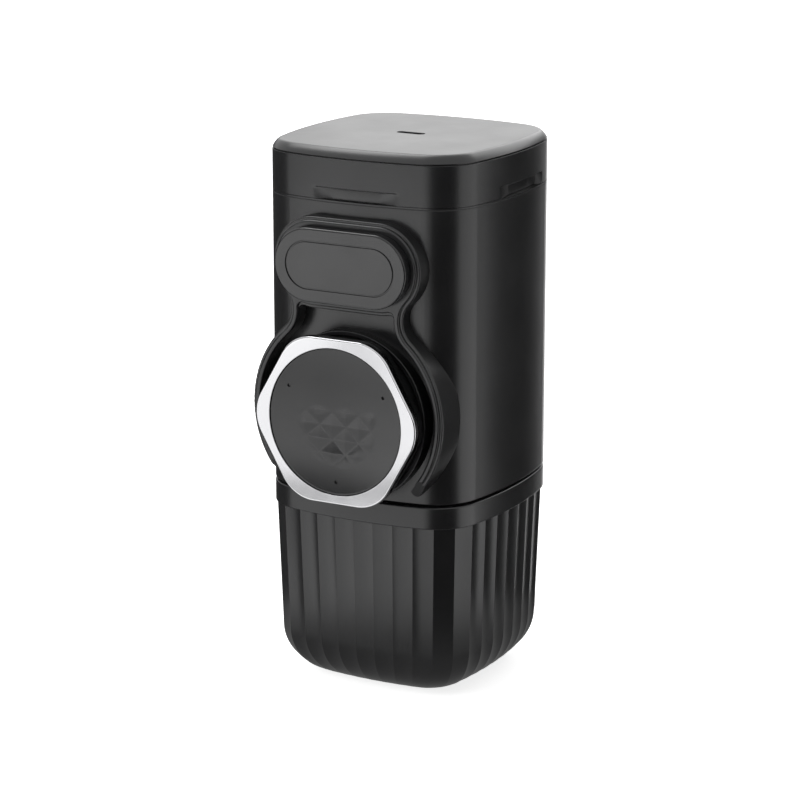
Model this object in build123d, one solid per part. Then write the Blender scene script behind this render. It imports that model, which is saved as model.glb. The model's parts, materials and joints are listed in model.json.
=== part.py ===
from build123d import *
import math
import os

# A hand-pumped pocket coffee maker, in millimetres. +Z is up, -Y is the front with the pump knob,
# and the origin is the middle of the cup's flat base.

# Plan outline of the whole body: bulged sides with round corners
half_width = 34.0
side_radius = 116.5
corner_radius = 14.1

# Gaps and general sizes
overrun = 5.0
seat_gap = 0.05
slip_gap = 0.3
edge_round = 0.4

# Drinking cup
cup_height = 58.6
cup_band = 6.4
cup_wall = 2.8
cup_floor = 2.8
cup_inset = 0.4
cup_draft = 0.037
cup_rounding = 15.0
cup_inner_rounding = 11.0
flute_count = 38
flute_depth = 0.45
flute_foot_depth = 0.06
corner_shrink_share = 0.4
round_stations = 5

# Casing
cup_gap = 0.8
casing_wall = 2.2
casing_rim_wall = 1.2
casing_boss_radius = 4.2
casing_boss_height = 14.0
casing_boss_inset = 11.7
casing_rib = 3.0

# Lid
lid_gap = 0.4
lid_side = 11.7
lid_crown = 2.6
lid_crown_width = 4.2
lid_crease = 0.4
lid_wall = 2.2
lid_roof = 3.0
crown_stations = 5
vent_length = 8.8
vent_width = 1.8
grip_half = 12.7
grip_ramp = 4.0
grip_depth = 1.2
grip_height = 3.1

# Lid plug, its seal and the vent valve
plug_wall = 2.6
plug_floor = 2.0
plug_drop = 6.4
plug_gap = 0.8
plug_flange = 1.6
seal_height = 2.4
seal_depth = 1.2
valve_flange_radius = 4.6
valve_flange = 1.2
valve_neck_radius = 2.6
valve_length = 3.6
valve_tip_radius = 1.4

# Water tank and its outlet
tank_wall = 1.6
tank_floor = 2.0
tank_depth = 32.9
tank_side_gap = 0.4
tank_flange = 2.0
spout_radius = 4.5
spout_bore = 2.5
spout_length = 4.6
strainer_radius = 6.2
strainer_thickness = 0.6
strainer_hole = 0.5
tank_gasket_thickness = 1.6

# Knob and collar, measured along the pump axis
knob_rise = 23.7
collar_radius = 24.4
collar_pocket_radius = 23.2
collar_stand = 2.2
collar_lip = 0.6
collar_edge = 0.3
collar_plug_radius = 21.6
collar_bore = 18.0
lock_gap = 0.4
lug_thickness = 3.0
lug_radius = 20.1
lug_sweep = 30.0
lug_play = 3.0
lug_count = 3
lug_start = 75.0
hub_radius = 17.4
hub_wall = 2.0
skirt_radius = 22.6
skirt_wall = 2.0
skirt_length = 3.4
knob_web = 1.0
knob_plate = 3.0
knob_plate_inset = 0.6
hex_half = 23.6
hex_corner = 11.6
ring_thickness = 2.4
ring_round = 0.7
disc_radius = 20.85
disc_sink = 0.25
gem_radius = 13.2
gem_depth = 0.45
gem_width = 8.5
gem_height = 8.0
gem_sink = 0.06
dot_radius = 0.6
dot_depth = 0.25
dot_circle = 17.3
dot_start = 30.0

# Plunger, its guide, seal and spring
stroke = 16.0
travel_gap = 0.5
rod_radius = 8.6
rod_flange_radius = 13.6
rod_flange = 1.5
rod_spigot = 4.0
head_radius = 10.7
head_length = 4.5
ring_wire = 1.1
running_gap = 0.06
guide_length = 5.0
guide_flange = 1.5
guide_flange_radius = 13.5
spring_radius = 11.4
spring_wire = 1.8
spring_pitch = 3.5

# Pump block and its end cap
bore_radius = 11.0
block_radius = 14.5
block_rear_room = 5.2
foot_half = 11.0
foot_flange_half = 18.0
foot_flange = 3.0
foot_front = 10.0
rear_flange_half = 15.5
rear_flange = 3.5
rear_corner = 2.5
cap_thickness = 3.0
cap_plug = 3.5
cap_screw_place = 12.3

# Ball valves
port_bore = 1.5
ball_radius = 2.4
ball_room = 3.0
ball_gap = 0.08
inlet_room = 7.5
valve_seat = 2.0
outlet_seat = 1.4
valve_spring_radius = 1.9
valve_spring_wire = 0.4
valve_spring_turns = 3
boss_radius = 7.4
boss_socket = 4.95
boss_gap = 0.6
spout_clearance = 0.4
duct_seal_radius = 5.2
duct_seal_wire = 0.8

# Brew head, with the spigot that the cup slides on
plate_recess = 0.4
plate_thickness = 5.2
plate_gap = 0.2
spigot_drop = 11.8
spigot_gap = 0.7
pocket_wall = 4.9
plenum_rim = 2.0
plenum_depth = 1.2
post_radius = 3.4
spring_web = 1.2
ring_groove_height = 2.0
ring_groove_depth = 1.2
ring_groove_rise = 3.0

# Shower screen, gasket, basket, portafilter and nozzle
screen_thickness = 0.6
screen_hole = 0.6
gasket_width = 4.0
gasket_thickness = 2.0
basket_gap = 0.8
basket_wall = 0.6
basket_depth = 21.0
basket_flange = 0.8
basket_rounding = 2.0
basket_hole = 0.45
hole_ring_count = 4
filter_wall = 3.6
filter_rim_wall = 1.2
filter_floor = 3.0
filter_room = 2.6
filter_lug = 2.0
filter_lug_height = 3.0
filter_lug_drop = 2.6
filter_turn = 50.0
rib_count = 28
rib_radius = 1.0
rib_height = 13.0
nozzle_socket = 6.0
nozzle_collar_radius = 8.0
nozzle_collar = 2.5
nozzle_tip_radius = 4.5
nozzle_taper = 6.0
nozzle_bore = 2.2

# Guard and badge
guard_rise = 0.9
guard_gap = 3.5
guard_neck_radius = 8.5
guard_width = 2.5
guard_bead = 1.6
guard_stand = 3.75
guard_step = 0.8
guard_tip_angle = -45.0
guard_tip_slope = 35.0
guard_tip_length = 4.5
bead_round = 0.55
guard_root_round = 1.5
badge_rise = 42.9
badge_length = 41.4
badge_height = 20.8
badge_stand = 3.15
badge_seat = 2.0
badge_round = 1.3
badge_line_inset = 3.5
badge_line_width = 0.5
badge_line_depth = 0.35

# Screws
screw_radius = 1.5
screw_head_radius = 2.6
screw_head = 1.6
screw_drive = 1.1
screw_drive_depth = 0.9
casing_screw_length = 10.0
block_screw_length = 6.0
cap_screw_length = 6.0
guard_screw_place = 12.0
knob_screw_length = 9.0
shower_screw_length = 4.0

# Heights that follow from the sizes above
casing_bottom = cup_height + cup_gap
knob_z = casing_bottom + knob_rise
inlet_room_bottom = knob_z + bore_radius + outlet_seat
inlet_seat_bottom = inlet_room_bottom + inlet_room
inlet_seat_top = inlet_seat_bottom + valve_seat
tank_bottom = inlet_seat_top + spout_clearance + spout_length
casing_top = tank_bottom + tank_depth
lid_bottom = casing_top + lid_gap
crease_z = lid_bottom + lid_side
top_z = crease_z + lid_crown
plate_bottom = casing_bottom + plate_recess
plate_top = plate_bottom + plate_thickness
spigot_bottom = plate_bottom - spigot_drop
boss_top = tank_bottom - tank_gasket_thickness
casing_half = half_width - casing_wall
tank_half = casing_half - tank_side_gap
tank_inner = tank_half - tank_wall
spigot_half = half_width - cup_wall - spigot_gap
casing_boss_place = half_width - casing_boss_inset

# Places along the pump axis, positive towards the front
collar_front = half_width + collar_stand
collar_floor = half_width + collar_lip
lug_front = casing_half - lock_gap - plate_gap
lug_rear = lug_front - lug_thickness
skirt_rear = collar_floor + lock_gap
web_rear = skirt_rear + skirt_length
web_front = web_rear + knob_web
plate_front = web_rear + knob_plate
ring_front = plate_front + ring_thickness
disc_front = ring_front - disc_sink
flange_front = web_rear - running_gap
flange_rear = flange_front - rod_flange
block_rear = casing_half - block_rear_room - screw_head - cap_thickness
port_place = block_rear - boss_radius - boss_gap
plunger_rear = port_place - port_bore - travel_gap
block_front = stroke + head_length + guide_length + travel_gap - plunger_rear
spring_rear = block_front + guide_flange
spring_turns = int((flange_rear - spring_rear) / spring_pitch)
guard_arm_radius = collar_radius + guard_gap + guard_width / 2
guard_lip = half_width + guard_stand
badge_back = guard_lip - badge_seat
badge_front = guard_lip + badge_stand

# Valve heights: the balls hang below their seats
ball_hang = math.sqrt(ball_radius ** 2 - port_bore ** 2) + ball_gap
inlet_ball_z = inlet_seat_bottom - ball_hang
outlet_seat_bottom = knob_z - bore_radius - outlet_seat
outlet_ball_z = outlet_seat_bottom - ball_hang
outlet_room_bottom = plate_bottom + plenum_depth + spring_web

# Heights of the brewing parts
screen_bottom = plate_bottom - screen_thickness
gasket_bottom = plate_bottom - gasket_thickness
basket_top = gasket_bottom - slip_gap
basket_seat = basket_top - basket_flange
basket_bottom = basket_top - basket_depth
pocket_radius = spigot_half - pocket_wall
screen_radius = pocket_radius - slip_gap - gasket_width - slip_gap
plenum_radius = screen_radius - plenum_rim
filter_radius = pocket_radius - lock_gap
filter_inner = filter_radius - filter_wall
basket_radius = filter_inner - basket_gap
basket_flange_radius = filter_radius - filter_rim_wall - plate_gap
filter_top = basket_top - plate_gap
filter_room_bottom = basket_bottom - filter_room
filter_bottom = filter_room_bottom - filter_floor
filter_lug_top = filter_top - filter_lug_drop
filter_lug_radius = filter_radius + filter_lug

front_axis = Location(Plane(origin=(0, 0, knob_z), x_dir=(1, 0, 0), z_dir=(0, -1, 0)))


def squircle_corner(half, corner):
    """Side radius, corner centre offset and half angle of a side arc, for a given half width."""
    bulge = side_radius - half_width
    side = half + bulge
    reach = side - corner
    centre = (math.sqrt(2 * reach ** 2 - bulge ** 2) - bulge) / 2
    return side, centre, math.asin(centre / reach)


def squircle_point(half, corner, share, sink=0):
    """Point at a share of the outline, counted from the front middle, sunk inwards by sink."""
    bulge = side_radius - half_width
    side, centre, spread = squircle_corner(half, corner)
    side_run = side * spread
    corner_run = corner * (math.pi / 2 - 2 * spread)
    quarter = 2 * side_run + corner_run
    turns, run = divmod(4 * quarter * share, quarter)
    if run <= side_run:
        angle = run / side
        x, y = (side - sink) * math.sin(angle), bulge - (side - sink) * math.cos(angle)
    elif run <= side_run + corner_run:
        angle = spread + (run - side_run) / corner
        x = centre + (corner - sink) * math.sin(angle)
        y = -centre - (corner - sink) * math.cos(angle)
    else:
        angle = math.pi / 2 - (quarter - run) / side
        x, y = (side - sink) * math.sin(angle) - bulge, -(side - sink) * math.cos(angle)
    return Vector(x, y).rotate(Axis.Z, 90 * turns)


def squircle(half, corner):
    """Closed outline of four bulged sides and four round corners."""
    side, centre, spread = squircle_corner(half, corner)
    along = side * math.sin(spread)
    across = side * math.cos(spread) - (side_radius - half_width)
    diagonal = centre + corner * math.sqrt(1 / 2)
    edges = []
    for turn in range(4):
        side_arc = ThreePointArc((-along, -across), (0, -half), (along, -across))
        corner_arc = ThreePointArc((along, -across), (diagonal, -diagonal), (across, -along))
        edges += [Rot(0, 0, 90 * turn) * side_arc, Rot(0, 0, 90 * turn) * corner_arc]
    return make_face(edges)


def shell_outline(half):
    """Outline parallel to the body's, with the same corner centres."""
    return squircle(half, corner_radius - half_width + half)


def prism(half, low, high, low_round=0, high_round=0):
    """Upright block on the body's outline, with its lower and upper edges rounded."""
    block = Pos(0, 0, low) * extrude(shell_outline(half), amount=high - low, dir=(0, 0, 1))
    if low_round:
        block = fillet(block.edges().group_by(Axis.Z)[0], low_round)
    if high_round:
        block = fillet(block.edges().group_by(Axis.Z)[-1], high_round)
    return block


def frame_ring(outer, inner, low, high):
    """Upright ring on the body's outline."""
    return prism(outer, low, high) - prism(inner, low - overrun, high + overrun)


def rod(radius, low, high, x=0, y=0):
    """Round bar along Z between two heights."""
    return Pos(x, y, (low + high) / 2) * Cylinder(radius, high - low)


def tube(outer, inner, low, high, x=0, y=0):
    """Round tube along Z between two heights."""
    return rod(outer, low, high, x, y) - rod(inner, low - overrun, high + overrun, x, y)


def sector(inner, outer, low, high, start, sweep):
    """Piece of a tube wall that sweeps anticlockwise from the start angle."""
    section = Pos((inner + outer) / 2, (low + high) / 2) * Rectangle(outer - inner, high - low)
    return Rot(0, 0, start) * revolve(Plane.XZ * section, axis=Axis.Z, revolution_arc=sweep)


def screw(length, head_radius=screw_head_radius):
    """Screw with a hexagon socket: shank down from the origin, head above it."""
    body = rod(screw_radius, -length, 0) + rod(head_radius, 0, screw_head)
    socket = extrude(RegularPolygon(screw_drive, 6), amount=screw_drive_depth)
    return body - Pos(0, 0, screw_head - screw_drive_depth) * socket


def corners(place):
    """Four places in a square about the axis."""
    return [(x * place, y * place) for x in (-1, 1) for y in (-1, 1)]


def hole_rings(radius, spacing, low, high):
    """Drilled holes in rings about the axis, one in the first ring's middle left for a screw."""
    holes = []
    for ring in range(1, hole_ring_count + 1):
        for step in range(6 * ring):
            at = Vector(spacing * ring, 0).rotate(Axis.Z, 60 * step / ring)
            holes.append(rod(radius, low - overrun, high + overrun, at.X, at.Y))
    return holes


def coil(radius, wire, turns, low, high):
    """Helical spring between two heights, on two tangent arcs for each quarter turn."""
    climb = high - low - wire
    lead = climb / (2 * math.pi * turns)

    def place(quarter):
        angle = quarter * math.pi / 2
        spot = Vector(radius * math.cos(angle), radius * math.sin(angle), low + wire / 2 + lead * angle)
        way = Vector(-radius * math.sin(angle), radius * math.cos(angle), lead).normalized()
        return spot, way

    arcs = []
    for quarter in range(4 * turns):
        start, start_way = place(quarter)
        end, end_way = place(quarter + 1)
        span = end - start
        both = start_way + end_way
        bend = 2 * (1 - start_way.dot(end_way))
        reach = (math.sqrt(span.dot(both) ** 2 + bend * span.dot(span)) - span.dot(both)) / bend
        first = start + start_way * reach
        last = end - end_way * reach
        middle = (first + last) / 2
        arcs.append(TangentArc(start, middle, tangent=start_way))
        arcs.append(TangentArc(middle, end, tangent=last - first))
    start, start_way = place(0)
    print("spring gap", round(climb / turns * math.cos(math.atan(lead / radius)) - wire, 3))
    return sweep(Plane(origin=start, z_dir=start_way) * Circle(wire / 2), path=Wire(arcs))


def tub(outline, half, top, floor, rounding):
    """Drafted wall from the top down to a bend, then a quarter round in to the floor.

    The outline function takes a half width, a corner radius and a share that falls from 1 to 0
    round the bend.
    """
    bend = floor + rounding
    foot = half - (top - bend) * cup_draft
    trim = corner_radius - half_width
    upper = Pos(0, 0, top) * outline(half, trim + half, 1)
    rings = []
    for step in range(round_stations + 1):
        angle = math.pi / 2 * step / round_stations
        sink = rounding * (1 - math.cos(angle))
        corner = trim + foot - corner_shrink_share * sink
        ring = outline(foot - sink, corner, math.cos(angle))
        rings.append(Pos(0, 0, bend - rounding * math.sin(angle)) * ring)
    return loft([upper, rings[0]], ruled=True) + loft(rings)


def plain(half, corner, share):
    """Smooth outline, the same all the way down."""
    return squircle(half, corner)


def fluted(half, corner, share):
    """Outline of hollow flutes that meet in sharp ridges on the squircle, fading with the share."""
    depth = flute_foot_depth + (flute_depth - flute_foot_depth) * share
    arcs = []
    for flute in range(flute_count):
        start = squircle_point(half, corner, flute / flute_count)
        middle = squircle_point(half, corner, (flute + 1 / 2) / flute_count, depth)
        end = squircle_point(half, corner, (flute + 1) % flute_count / flute_count)
        arcs.append(ThreePointArc(start, middle, end))
    return make_face(arcs)


def make_drinking_cup():
    band_bottom = cup_height - cup_band
    inner_half = half_width - cup_wall
    cup = prism(half_width, band_bottom, cup_height, edge_round, edge_round)
    cup += tub(fluted, half_width - cup_inset, band_bottom, 0, cup_rounding)
    cup -= prism(inner_half, band_bottom, cup_height + overrun)
    return cup - tub(plain, inner_half, band_bottom, cup_floor, cup_inner_rounding)


def make_body_casing():
    shell = prism(half_width, casing_bottom, casing_top, edge_round, edge_round)
    shell -= prism(casing_half, casing_bottom - overrun, casing_top + overrun)
    shell -= prism(half_width - casing_rim_wall, casing_top - tank_flange, casing_top + overrun)
    boss_high = plate_top + casing_boss_height
    room = prism(casing_half + seat_gap, plate_top, boss_high)
    for turn in range(4):
        boss = rod(casing_boss_radius, plate_top, boss_high, casing_boss_place, casing_boss_place)
        rib = Pos(half_width / 2, 0, (plate_top + boss_high) / 2)
        rib *= Box(half_width, casing_rib, casing_boss_height)
        rib = Pos(casing_boss_place, casing_boss_place) * Rot(0, 0, 45) * rib
        shell += Rot(0, 0, 90 * turn) * ((boss + rib) & room)
    for x, y in corners(casing_boss_place):
        shell -= rod(screw_radius, plate_top - overrun, boss_high - casing_rib, x, y)
    shell -= front_axis * rod(collar_plug_radius + seat_gap, casing_half - overrun, half_width + overrun)
    for x in (-guard_screw_place, guard_screw_place):
        hole = rod(screw_radius, casing_half - overrun, half_width + overrun, x, badge_rise)
        shell -= front_axis * hole
    return shell


def make_top_lid():
    sides = prism(half_width, lid_bottom, crease_z, edge_round, edge_round)
    rings = []
    for step in range(crown_stations + 1):
        angle = math.pi / 2 * step / crown_stations
        inset = lid_crease + lid_crown_width * (1 - math.cos(angle))
        height = crease_z + lid_crown * math.sin(angle)
        rings.append(Pos(0, 0, height) * shell_outline(half_width - inset))
    lid = sides + loft(rings)
    lid -= prism(half_width - lid_wall, lid_bottom - overrun, top_z - lid_roof)
    slot = extrude(SlotOverall(vent_length, vent_width), amount=lid_roof + 2 * overrun)
    lid -= Pos(0, 0, top_z - lid_roof - overrun) * slot
    end_y = (side_radius - half_width) - math.sqrt(side_radius ** 2 - grip_half ** 2)
    floor_y = grip_depth - half_width
    flat = grip_half - grip_ramp
    plan = [(-grip_half, -half_width - overrun), (-grip_half, end_y), (-flat, floor_y), (flat, floor_y),
            (grip_half, end_y), (grip_half, -half_width - overrun)]
    grip = extrude(make_face(Polyline(*plan, close=True)), amount=grip_height + overrun, dir=(0, 0, 1))
    for turn in range(4):
        lid -= Rot(0, 0, 90 * turn) * Pos(0, 0, lid_bottom - overrun) * grip
    return lid


def plug_half():
    """Half width of the lid plug, inside the tank."""
    return tank_inner - plug_gap


def seal_low():
    """Lower face of the lid seal's groove."""
    return casing_top - plug_drop + plug_floor


def make_lid_plug():
    plug = prism(plug_half(), casing_top - plug_drop, top_z - lid_roof)
    plug -= prism(plug_half() - plug_wall, casing_top - plug_drop + plug_floor, top_z)
    flange_half = half_width - lid_wall - slip_gap
    plug += frame_ring(flange_half, plug_half() - plug_wall, lid_bottom, lid_bottom + plug_flange)
    plug -= frame_ring(half_width, plug_half() - seal_depth, seal_low(), seal_low() + seal_height)
    return plug - rod(valve_neck_radius + seat_gap, casing_top - plug_drop - overrun, casing_top)


def make_lid_seal():
    return frame_ring(tank_inner - slip_gap, plug_half() - seal_depth, seal_low(), seal_low() + seal_height)


def make_vent_valve():
    floor_low = casing_top - plug_drop
    floor_high = floor_low + plug_floor
    valve = rod(valve_flange_radius, floor_high, floor_high + valve_flange)
    valve += rod(valve_neck_radius, floor_low, floor_high)
    tip = Pos(0, 0, floor_low - valve_length / 2)
    valve += tip * Cone(valve_tip_radius, valve_neck_radius, valve_length)
    return valve - rod(valve_tip_radius / 2, floor_low - valve_length / 2, floor_high + overrun)


def make_water_tank():
    tank = prism(tank_half, tank_bottom, casing_top, tank_wall)
    tank += prism(half_width - casing_rim_wall - slip_gap, casing_top - tank_flange, casing_top)
    tank -= prism(tank_inner, tank_bottom + tank_floor, casing_top + overrun, tank_wall)
    tank += rod(spout_radius, tank_bottom - spout_length, tank_bottom, 0, port_place)
    tank -= rod(spout_bore, tank_bottom - spout_length - overrun, casing_top, 0, port_place)
    recess = tank_bottom + tank_floor - strainer_thickness
    return tank - rod(strainer_radius + seat_gap, recess, casing_top, 0, port_place)


def make_intake_strainer():
    low = tank_bottom + tank_floor - strainer_thickness
    disc = rod(strainer_radius, low, low + strainer_thickness)
    rings = strainer_radius / (hole_ring_count + 1)
    return Pos(0, port_place) * (disc - hole_rings(strainer_hole, rings, low, low + strainer_thickness))


def make_tank_gasket():
    return tube(boss_radius, spout_radius + seat_gap, boss_top, tank_bottom, 0, port_place)


def make_pump_collar():
    collar = rod(collar_radius, casing_half, collar_front)
    collar = fillet(collar.edges().group_by(Axis.Z)[-1], collar_edge)
    collar -= rod(collar_pocket_radius, collar_floor, collar_front + overrun)
    collar = front_axis * collar - prism(half_width + seat_gap, 0, top_z)
    collar += front_axis * rod(collar_plug_radius, casing_half - plate_gap, collar_floor)
    collar -= front_axis * rod(collar_bore, 0, collar_front)
    for lug in range(lug_count):
        start = lug_start + 360 * lug / lug_count - lug_play
        notch = sector(hub_radius, lug_radius + lock_gap, 0, collar_front, start, lug_sweep + 2 * lug_play)
        collar -= front_axis * notch
    reach = 2 * collar_radius
    return collar - Pos(0, 0, casing_bottom - reach / 2) * Box(2 * reach, 4 * reach, reach)


def hexagon(inset=0):
    """Rounded hexagon of the knob, flats at the top and bottom."""
    face = RegularPolygon(hex_half - inset, 6, major_radius=False)
    return fillet(face.vertices(), hex_corner - inset)


def make_knob_body():
    knob = Pos(0, 0, web_rear) * extrude(hexagon(knob_plate_inset), amount=knob_plate)
    knob += tube(skirt_radius, skirt_radius - skirt_wall, skirt_rear, web_rear)
    knob += tube(hub_radius, hub_radius - hub_wall, lug_rear, web_rear)
    for lug in range(lug_count):
        start = lug_start + 360 * lug / lug_count
        knob += sector(hub_radius - hub_wall, lug_radius, lug_rear, lug_front, start, lug_sweep)
    knob -= rod(rod_spigot + running_gap, web_rear - overrun, plate_front + overrun)
    knob -= rod(2 * screw_head_radius + lock_gap, web_front, plate_front + overrun)
    return front_axis * knob


def make_knob_ring():
    ring = Pos(0, 0, plate_front) * extrude(hexagon(), amount=ring_thickness)
    ring = fillet(ring.edges().group_by(Axis.Z)[-1], ring_round)
    ring -= rod(disc_radius + slip_gap / 2, plate_front - overrun, ring_front + overrun)
    return front_axis * ring


def make_knob_disc():
    disc = rod(disc_radius, plate_front, disc_front)
    disc = fillet(disc.edges().group_by(Axis.Z)[-1], disc_sink)
    side = math.hypot(gem_width, gem_height) / 2
    pitch = gem_width * gem_height / (2 * side)
    low = disc_front - gem_sink - gem_depth
    high = low + 2 * gem_depth
    valley = make_face(Polyline((0, low), (pitch, high), (-pitch, high), close=True))
    groove = extrude(Plane.XZ * valley, amount=gem_radius, both=True)
    room = rod(gem_radius, low - overrun, disc_front + overrun)
    tilt = math.degrees(math.atan2(gem_width, gem_height))
    reach = math.ceil(gem_radius / pitch)
    for turn in (-tilt, tilt):
        for step in range(-reach, reach + 1):
            disc -= Rot(0, 0, turn) * Pos((step + 1 / 2) * pitch, 0) * groove & room
    for dot in range(lug_count):
        at = Vector(dot_circle, 0).rotate(Axis.Z, dot_start + 360 * dot / lug_count)
        disc -= rod(dot_radius, disc_front - dot_depth, disc_front + overrun, at.X, at.Y)
    return front_axis * disc


def make_knob_screw():
    fixing = screw(knob_screw_length, 2 * screw_head_radius)
    return front_axis * Pos(0, 0, web_front + running_gap) * fixing


def make_pump_plunger():
    rear = -plunger_rear
    head_front = rear + head_length
    plunger = rod(rod_radius, head_front, flange_rear)
    plunger += rod(rod_flange_radius, flange_rear, flange_front)
    plunger += rod(rod_spigot, flange_front, web_front + running_gap)
    plunger += rod(head_radius, rear, head_front)
    groove = bore_radius - running_gap - 2 * ring_wire
    middle = rear + head_length / 2
    wide = ring_wire + seat_gap
    plunger -= tube(bore_radius, groove, middle - wide, middle + wide)
    hole_top = web_front + running_gap
    return front_axis * (plunger - rod(screw_radius, hole_top - knob_screw_length, hole_top + overrun))


def make_plunger_seal():
    ring = Torus(bore_radius - running_gap - ring_wire, ring_wire)
    return front_axis * Pos(0, 0, head_length / 2 - plunger_rear) * ring


def make_plunger_guide():
    guide = rod(bore_radius - seat_gap, block_front - guide_length, block_front)
    guide += rod(guide_flange_radius, block_front, spring_rear)
    return front_axis * (guide - rod(rod_radius + running_gap, 0, spring_rear + overrun))


def make_plunger_spring():
    return front_axis * coil(spring_radius, spring_wire, spring_turns, spring_rear, flange_rear)


def block_screw_places():
    """Places of the four screws that hold the block's foot."""
    across = (foot_half + foot_flange_half) / 2
    front = screw_head_radius + slip_gap - foot_front
    return [(side * across, y) for side in (-1, 1) for y in (front, port_place - screw_head_radius)]


def rear_plate(low, high):
    """Square plate with round corners across the pump axis."""
    size = 2 * rear_flange_half
    return Pos(0, 0, low) * extrude(RectangleRounded(size, size, rear_corner), amount=high - low)


def make_pump_block():
    barrel = rod(block_radius, -block_rear, block_front) + rear_plate(-block_rear, rear_flange - block_rear)
    block = front_axis * barrel
    depth = block_rear + foot_front
    middle = (block_rear - foot_front) / 2
    block += Pos(0, middle, (plate_top + knob_z) / 2) * Box(2 * foot_half, depth, knob_z - plate_top)
    flange_depth = port_place + foot_front + rear_flange / 2
    block += Pos(0, flange_depth / 2 - foot_front, plate_top + foot_flange / 2) * Box(
        2 * foot_flange_half, flange_depth, foot_flange)
    block += rod(boss_radius, knob_z, boss_top, 0, port_place)
    block -= front_axis * rod(bore_radius, -block_rear - overrun, block_front + overrun)
    block -= front_axis * rod(guide_flange_radius + slip_gap, block_front, flange_front)
    block -= rod(boss_socket, inlet_seat_bottom, boss_top + overrun, 0, port_place)
    block -= rod(ball_room, inlet_room_bottom, inlet_seat_bottom, 0, port_place)
    block -= rod(port_bore, outlet_seat_bottom, inlet_room_bottom, 0, port_place)
    block -= rod(ball_room, plate_top - overrun, outlet_seat_bottom, 0, port_place)
    groove = duct_seal_radius + duct_seal_wire
    groove_in = duct_seal_radius - duct_seal_wire
    groove_top = plate_top + 2 * duct_seal_wire
    block -= tube(groove, groove_in, plate_top - overrun, groove_top, 0, port_place)
    for x, y in block_screw_places():
        block -= rod(screw_radius, plate_top - overrun, plate_top + overrun, x, y)
    for x, z in corners(cap_screw_place):
        block -= front_axis * rod(screw_radius, -block_rear - overrun, cap_screw_length - block_rear, x, z)
    return block


def make_pump_end_cap():
    cap = rear_plate(-block_rear - cap_thickness, -block_rear)
    cap += rod(bore_radius - seat_gap, -block_rear, cap_plug - block_rear)
    groove = bore_radius - seat_gap - 2 * ring_wire
    middle = cap_plug / 2 - block_rear
    wide = ring_wire + seat_gap
    cap -= tube(bore_radius, groove, middle - wide, middle + wide)
    for x, z in corners(cap_screw_place):
        cap -= rod(screw_radius, -block_rear - cap_thickness - overrun, -block_rear + overrun, x, z)
    return front_axis * cap


def make_end_cap_seal():
    ring = Torus(bore_radius - seat_gap - ring_wire, ring_wire)
    return front_axis * Pos(0, 0, cap_plug / 2 - block_rear) * ring


def make_pump_screws():
    fixing = Rot(180, 0, 0) * screw(cap_screw_length + cap_thickness)
    head = -block_rear - cap_thickness
    return [front_axis * Pos(x, z, head) * fixing for x, z in corners(cap_screw_place)]


def make_inlet_seat():
    return tube(boss_socket - seat_gap, port_bore, inlet_seat_bottom, inlet_seat_top, 0, port_place)


def ball(z):
    """Valve ball below its seat."""
    return Pos(0, port_place, z) * Sphere(ball_radius)


def valve_spring(low, ball_z):
    """Light spring that holds a ball up against its seat."""
    high = ball_z - math.sqrt(ball_radius ** 2 - valve_spring_radius ** 2) - valve_spring_wire
    return Pos(0, port_place) * coil(valve_spring_radius, valve_spring_wire, valve_spring_turns, low, high)


def make_duct_seal():
    return Pos(0, port_place, plate_top + duct_seal_wire) * Torus(duct_seal_radius, duct_seal_wire)


def make_block_screws():
    head = plate_top + foot_flange
    return [Pos(x, y, head) * screw(block_screw_length) for x, y in block_screw_places()]


def make_brew_head():
    head = prism(casing_half - plate_gap, plate_bottom, plate_top)
    head += prism(spigot_half, spigot_bottom, plate_bottom, edge_round)
    ring_low = plate_bottom - ring_groove_rise - ring_groove_height
    head -= frame_ring(half_width, spigot_half - ring_groove_depth, ring_low, ring_low + ring_groove_height)
    head -= rod(pocket_radius, spigot_bottom - overrun, plate_bottom)
    groove_low = filter_lug_top - filter_lug_height - lock_gap
    head -= rod(filter_lug_radius + lock_gap, groove_low, filter_lug_top + lock_gap)
    for lug in range(lug_count):
        start = filter_turn + 360 * lug / lug_count - lug_play
        head -= sector(filter_inner, filter_lug_radius + slip_gap, spigot_bottom - overrun, filter_lug_top,
                       start, lug_sweep + 2 * lug_play)
    head -= tube(plenum_radius, post_radius, plate_bottom - overrun, plate_bottom + plenum_depth)
    head -= rod(ball_room, outlet_room_bottom, plate_top + overrun, 0, port_place)
    head -= rod(port_bore, plate_bottom, outlet_room_bottom, 0, port_place)
    head -= rod(screw_radius, plate_bottom - overrun, screen_bottom + shower_screw_length)
    for x, y in block_screw_places():
        head -= rod(screw_radius, plate_top + foot_flange - block_screw_length, plate_top + overrun, x, y)
    for x, y in corners(casing_boss_place):
        head -= rod(screw_head_radius + slip_gap, spigot_bottom - overrun, plate_bottom + screw_head, x, y)
        head -= rod(screw_radius, plate_bottom, plate_top + overrun, x, y)
    return head - front_axis * rod(lug_radius + lock_gap, lug_rear - lock_gap, half_width)


def make_casing_screws():
    fixing = Rot(180, 0, 0) * screw(casing_screw_length)
    return [Pos(x, y, plate_bottom + screw_head) * fixing for x, y in corners(casing_boss_place)]


def make_spigot_ring():
    low = plate_bottom - ring_groove_rise - ring_groove_height
    outer = half_width - cup_wall - slip_gap
    return frame_ring(outer, spigot_half - ring_groove_depth, low, low + ring_groove_height)


def make_shower_screen():
    screen = tube(screen_radius, screw_radius, screen_bottom, plate_bottom)
    spacing = plenum_radius / (hole_ring_count + 1)
    return screen - hole_rings(screen_hole, spacing, screen_bottom, plate_bottom)


def make_shower_screw():
    return Pos(0, 0, screen_bottom) * Rot(180, 0, 0) * screw(shower_screw_length)


def make_group_gasket():
    inner = screen_radius + slip_gap
    return tube(inner + gasket_width, inner, gasket_bottom, plate_bottom)


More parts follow.
